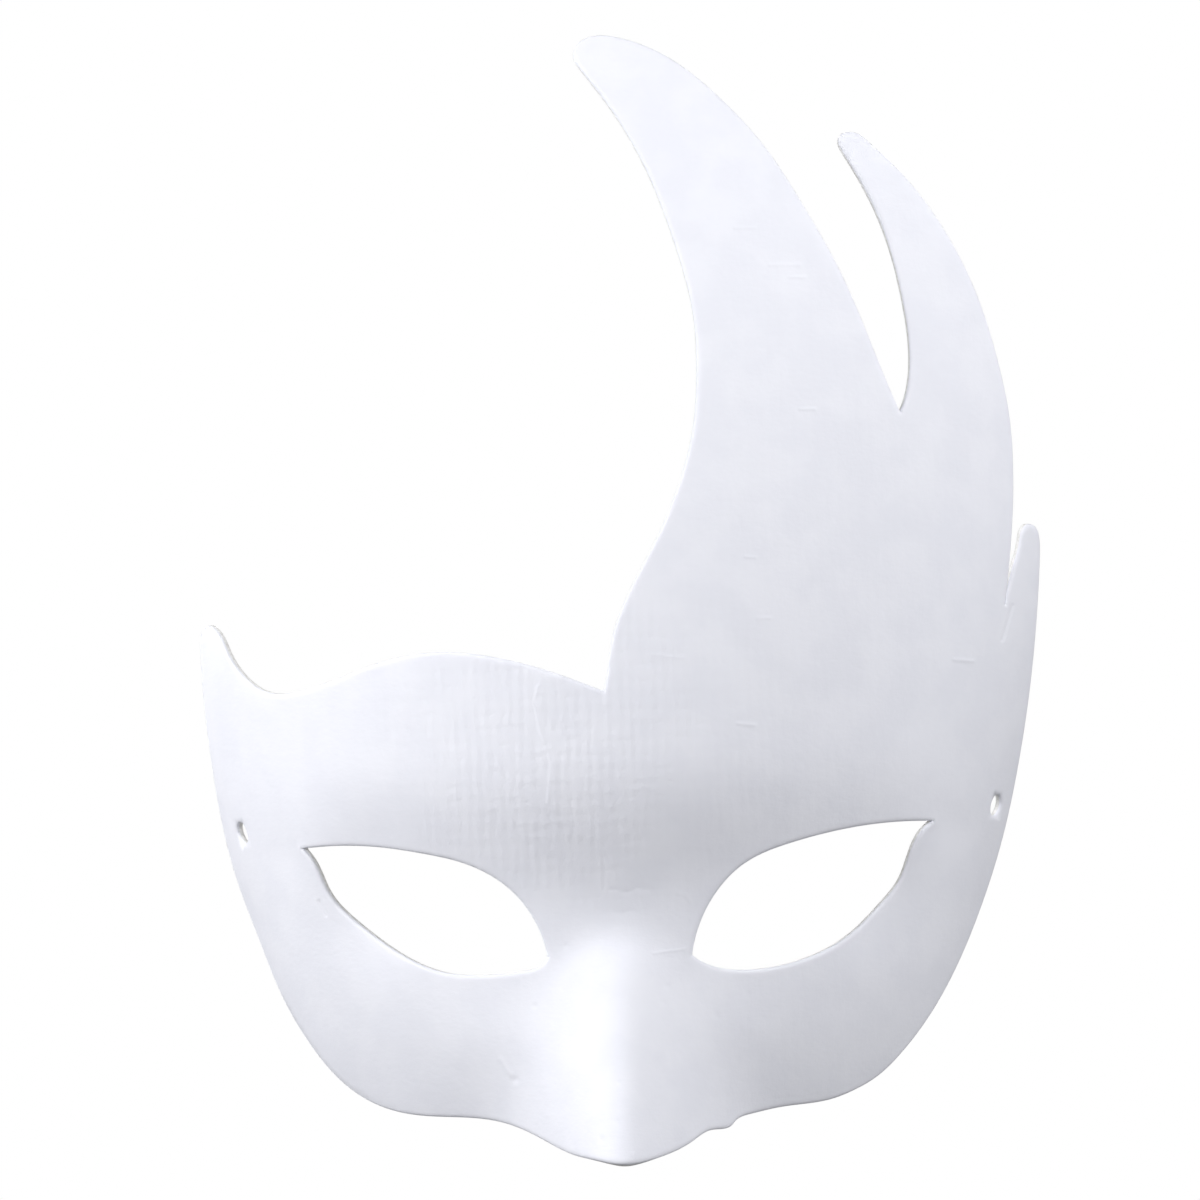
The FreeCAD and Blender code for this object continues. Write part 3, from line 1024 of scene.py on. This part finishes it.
@dataclass
class FlameCrestMask:
    """The whole mask: one moulded wall of three glued plies."""

    front: MouldedFront = field(default_factory=MouldedFront)
    pattern: CutPattern = field(default_factory=CutPattern)
    fine_grid: float = 0.78
    back_grid: float = 0.9
    coarse_grid: float = 3.6
    fine_rings: tuple[float, ...] = (0.06, 0.18, 0.36, 0.62, 1.0, 1.5)
    coarse_rings: tuple[float, ...] = (0.35, 0.9, 1.9)
    rim_fade: float = 2.0
    marks: tuple[Dimple | Ripple, ...] = (
        Dimple((-70.5, -4.4), 5.5, -0.3),
        Dimple((70.5, -3.4), 5.5, -0.3),
        Dimple((59.8, 80.0), 4.0, -0.12),
        Ripple(0.055, (41.0, 33.0, 27.0, 21.0, 17.0, 13.0), 7),
        Ripple(0.012, (9.0, 7.3, 6.1, 5.2), 11),
    )
    fine_marks: tuple[Crease | Dimple, ...] = (
        Crease(
            ((-14.4, 30.9), (-15.2, 27.5), (-14.2, 21.8), (-12.1, 14.8), (-13.2, 6.5)),
            Mark.LAP, 0.35, 0.07,
        ),
        Crease(
            ((-14.6, 30.6), (-15.4, 27.5), (-14.4, 21.8), (-12.3, 14.8), (-13.4, 6.5)),
            Mark.RIDGE, 0.4, 0.09,
        ),
        Crease(((7.3, -25.5), (11.0, -25.2), (15.0, -24.9)), Mark.RIDGE, 0.3, 0.07),
        Crease(((41.9, 86.1), (45.1, 86.0)), Mark.RIDGE, 0.3, 0.09),
        Crease(((29.8, 124.8), (34.0, 124.7)), Mark.RIDGE, 0.3, 0.07),
        Crease(((36.8, 116.7), (43.2, 116.5)), Mark.RIDGE, 0.35, 0.07),
        Crease(((40.9, 114.0), (44.1, 113.9)), Mark.RIDGE, 0.3, 0.07),
        Crease(((72.5, 32.2), (76.8, 31.6)), Mark.RIDGE, 0.35, 0.11),
        Crease(((29.3, 55.8), (31.5, 55.6)), Mark.RIDGE, 0.3, 0.09),
        Crease(((26.5, 21.4), (30.0, 20.9)), Mark.RIDGE, 0.35, 0.09),
        Crease(((8.2, 36.6), (15.6, 35.4)), Mark.RIDGE, 0.35, 0.05),
        Crease(((31.4, 43.0), (34.0, 42.9)), Mark.RIDGE, 0.35, 0.07),
        Crease(((86.0, 42.8), (84.8, 39.4), (83.5, 35.7)), Mark.GROOVE, 0.4, 0.16),
        Crease(((-63.6, -14.0), (-62.9, -15.6), (-62.3, -16.9)), Mark.GROOVE, 0.35, 0.18),
        Crease(((-2.5, -5.2), (-2.2, -8.4), (-2.6, -11.8)), Mark.GROOVE, 0.35, 0.06),
        Crease(((-1.0, -12.0), (2.1, -12.7), (4.4, -12.0), (7.0, -12.3)), Mark.GROOVE, 0.6, 0.08),
        Crease(((-1.2, -16.2), (1.0, -17.0), (3.2, -16.6)), Mark.GROOVE, 0.6, 0.06),
        Crease(((12.7, -13.3), (14.4, -13.9), (15.2, -15.1)), Mark.RIDGE, 0.4, 0.06),
        Crease(((-25.4, -46.6), (-23.6, -49.8)), Mark.RIDGE, 0.5, 0.13),
        Dimple((-22.6, -50.9), 0.7, -0.18),
        Dimple((-17.9, -35.6), 0.6, -0.11),
        Dimple((-10.9, -23.4), 0.6, -0.11),
        Dimple((9.8, -32.2), 0.6, -0.09),
        Dimple((8.9, -35.5), 0.6, -0.09),
        Dimple((-0.6, -50.2), 0.6, -0.11),
        Dimple((-1.2, -57.8), 0.8, -0.09),
        Dimple((-4.4, -61.2), 0.7, -0.13),
        Dimple((2.1, -64.2), 0.5, 0.13),
        Dimple((19.7, -38.9), 0.7, -0.09),
        Dimple((26.4, -35.0), 0.7, -0.07),
    )
    back_marks: tuple[Ripple, ...] = (
        Ripple(0.10, (38.0, 29.0, 19.0, 13.0), 23),
        Ripple(0.035, (8.1, 6.7, 5.3, 4.4), 29),
    )

    def relief(self, marks: tuple[Crease | Dimple | Ripple, ...], sheet: Sheet) -> np.ndarray:
        """Sum of the marks over a sheet, fading to nothing at the cut edges."""
        total = sum(mark.relief(sheet.flat) for mark in marks)
        return total * smooth_step(sheet.rim_distance / self.rim_fade)

    def build(self) -> list[bpy.types.Object]:
        """Make the three plies and give each its finish and its node's place.

        Returns:
            The pieces, front to back.
        """
        wall = Wall(self.front)
        loops = self.pattern.loops(self.front)
        patches = tuple(mark.patch() for mark in self.fine_marks)
        fine = SheetCutter(self.front, loops, self.fine_grid, self.fine_rings, patches).cut()
        back = SheetCutter(self.front, loops, self.back_grid, self.fine_rings[1:]).cut()
        coarse = SheetCutter(self.front, loops, self.coarse_grid, self.coarse_rings).cut()
        front_skin = (fine, wall.surface(fine, 0, self.relief(self.marks + self.fine_marks, fine)))
        under_facing = (coarse, wall.surface(coarse, 1))
        over_lining = (coarse, wall.surface(coarse, 2))
        back_skin = (back, wall.surface(back, 3, self.relief(self.back_marks, back)))
        plies = (
            ("front_facing", "white_facing", front_skin, under_facing, FacingFinish()),
            ("pulp_core", "pulp", under_facing, over_lining, PulpFinish()),
            ("back_lining", "back_lining", over_lining, back_skin, LiningFinish()),
        )
        pieces = []
        for node, slot, top, bottom, finish in plies:
            piece = closed_ply(node + "_ply", top, bottom)
            piece.data.materials.append(finish.material())
            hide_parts(node)
            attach(piece, "root")
            LOG.info("%s: %d triangles", piece.name, len(piece.data.polygons))
            pieces.append(piece)
        return pieces


# --- The studio ---------------------------------------------------------------


def bearing(azimuth: float, elevation: float) -> Vector:
    """Unit vector towards a bearing in degrees, azimuth 0 being in front and 90 at the right."""
    turn, rise = math.radians(azimuth), math.radians(elevation)
    return Vector((math.sin(turn) * math.cos(rise), -math.cos(turn) * math.cos(rise), math.sin(rise)))


@dataclass(frozen=True)
class SoftBox:
    """A square soft light aimed at the mask."""

    name: str
    azimuth: float
    elevation: float
    size: float
    power: float
    distance: float

    def hang(self, target: Vector) -> None:
        """Put the light at its bearing from the target that it shines at."""
        away = bearing(self.azimuth, self.elevation)
        light = bpy.data.lights.new(self.name, "AREA")
        light.shape = "SQUARE"
        light.size = self.size
        light.energy = self.power
        lamp = bpy.data.objects.new(self.name, light)
        lamp.location = target + away * self.distance
        lamp.rotation_mode = "QUATERNION"
        lamp.rotation_quaternion = away.to_track_quat("Z", "Y")
        lamp.visible_camera = False
        bpy.context.scene.collection.objects.link(lamp)
        LOG.info("%s: %.1f W", self.name, self.power)


@dataclass(frozen=True)
class Portrait:
    """Where the camera stands: nearly straight in front, a hand's breadth above the eyes."""

    distance: float = 1.150
    azimuth: float = 1.5
    elevation: float = 1.0
    roll: float = 2.2
    right_shift: float = -0.00398
    up_shift: float = 0.04719
    lens: float = 160.46
    sensor: float = 36.0

    def set_up(self) -> None:
        """Make the camera and look through it."""
        turn, roll = math.radians(self.azimuth), math.radians(self.roll)
        back = bearing(self.azimuth, self.elevation)
        level = Vector((math.cos(turn), math.sin(turn), 0.0))
        upright = back.cross(level)
        right = math.cos(roll) * level - math.sin(roll) * upright
        up = math.sin(roll) * level + math.cos(roll) * upright
        place = back * self.distance + right * self.right_shift + up * self.up_shift
        camera = bpy.data.cameras.new("portrait_camera")
        camera.lens = self.lens
        camera.sensor_width = self.sensor
        camera.clip_end = 50.0
        body = bpy.data.objects.new("portrait_camera", camera)
        body.matrix_world = Matrix.Translation(place) @ Matrix((right, up, back)).transposed().to_4x4()
        bpy.context.scene.collection.objects.link(body)
        bpy.context.scene.camera = body


@dataclass
class Studio:
    """A white room: a pale floor well below the mask, a faint even sky and soft lights."""

    floor_drop: float = 0.25
    floor_reach: float = 1.6
    floor_colour: Rgb = (0.88, 0.88, 0.885)
    floor_glow: tuple[float, float] = (0.10, 1.0)
    glow_start: float = 0.5
    sky: float = 0.2
    backdrop: float = 1.0
    lights: tuple[SoftBox, ...] = (
        SoftBox("left_key", -75.0, 15.0, 0.35, 3.8, 0.65),
        SoftBox("front_light", 6.0, 15.0, 0.8, 5.3, 1.5),
        SoftBox("right_top_light", 45.0, 40.0, 0.35, 1.88, 0.65),
        SoftBox("right_fill", 75.0, 33.0, 0.35, 0.8, 0.65),
        SoftBox("low_right_rim", 110.0, -30.0, 0.8, 2.9, 1.5),
        SoftBox("back_light", 180.0, 5.0, 0.8, 5.0, 1.5),
    )

    def set_up(self, box: tuple[Vector, Vector]) -> None:
        """Build the floor, the sky and the lights, and choose plain tones.

        Args:
            box: lowest and highest corner of what is lit.
        """
        low, high = box
        self.lay_floor(low.z - self.floor_drop)
        self.fill_sky()
        for light in self.lights:
            light.hang((low + high) / 2)
        bpy.context.scene.view_settings.view_transform = "Standard"

    def lay_floor(self, height: float) -> None:
        """A plain round floor, pale in the middle and as white as the backdrop at its edge.

        A floor this bright would light the nose and the cheeks from below, so
        only the camera sees it.

        Args:
            height: its level, in metres.
        """
        turn = np.linspace(0.0, TURN, 96, endpoint=False)
        edge = self.floor_reach * np.column_stack([np.cos(turn), np.sin(turn)])
        mesh = bpy.data.meshes.new("floor")
        mesh.from_pydata([(x, y, height) for x, y in edge], [], [tuple(range(len(edge)))])
        floor = bpy.data.objects.new("floor", mesh)
        bpy.context.scene.collection.objects.link(floor)
        nodes = NodeTree("pale_floor")
        flat = nodes.node("ShaderNodeVectorMath", {"operation": "MULTIPLY"})
        nodes.feed(flat.inputs[0], nodes.coordinates)
        nodes.feed(flat.inputs[1], (1.0, 1.0, 0.0))
        away = nodes.node("ShaderNodeVectorMath", {"operation": "LENGTH"})
        nodes.feed(away.inputs[0], flat.outputs[0])
        glow = nodes.range(away.outputs["Value"], self.glow_start, self.floor_reach, *self.floor_glow)
        colour = (*self.floor_colour, 1.0)
        material = nodes.finish(
            Base_Color=colour, Roughness=0.9, Emission_Color=(1.0, 1.0, 1.0, 1.0), Emission_Strength=glow
        )
        mesh.materials.append(material)
        floor.visible_diffuse = False
        floor.visible_glossy = False
        floor.visible_shadow = False
        floor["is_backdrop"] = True

    def fill_sky(self) -> None:
        """A faint even light from all round, with a plain white backdrop behind the mask."""
        world = bpy.data.worlds.new("white_room")
        bpy.context.scene.world = world
        world.use_nodes = True
        tree = world.node_tree
        tree.nodes.clear()
        room, wall = (tree.nodes.new("ShaderNodeBackground") for _ in range(2))
        room.inputs["Strength"].default_value = self.sky
        wall.inputs["Strength"].default_value = self.backdrop
        for background in (room, wall):
            background.inputs["Color"].default_value = (1.0, 1.0, 1.0, 1.0)
        path = tree.nodes.new("ShaderNodeLightPath")
        mix = tree.nodes.new("ShaderNodeMixShader")
        output = tree.nodes.new("ShaderNodeOutputWorld")
        tree.links.new(path.outputs["Is Camera Ray"], mix.inputs[0])
        tree.links.new(room.outputs[0], mix.inputs[1])
        tree.links.new(wall.outputs[0], mix.inputs[2])
        tree.links.new(mix.outputs[0], output.inputs["Surface"])


def main() -> None:
    """Build the mask, light it and set up its portrait."""
    logging.basicConfig(level=logging.INFO, format="%(message)s")
    FlameCrestMask().build()
    Studio().set_up(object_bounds())
    Portrait().set_up()


if __name__ == "__main__":
    main()
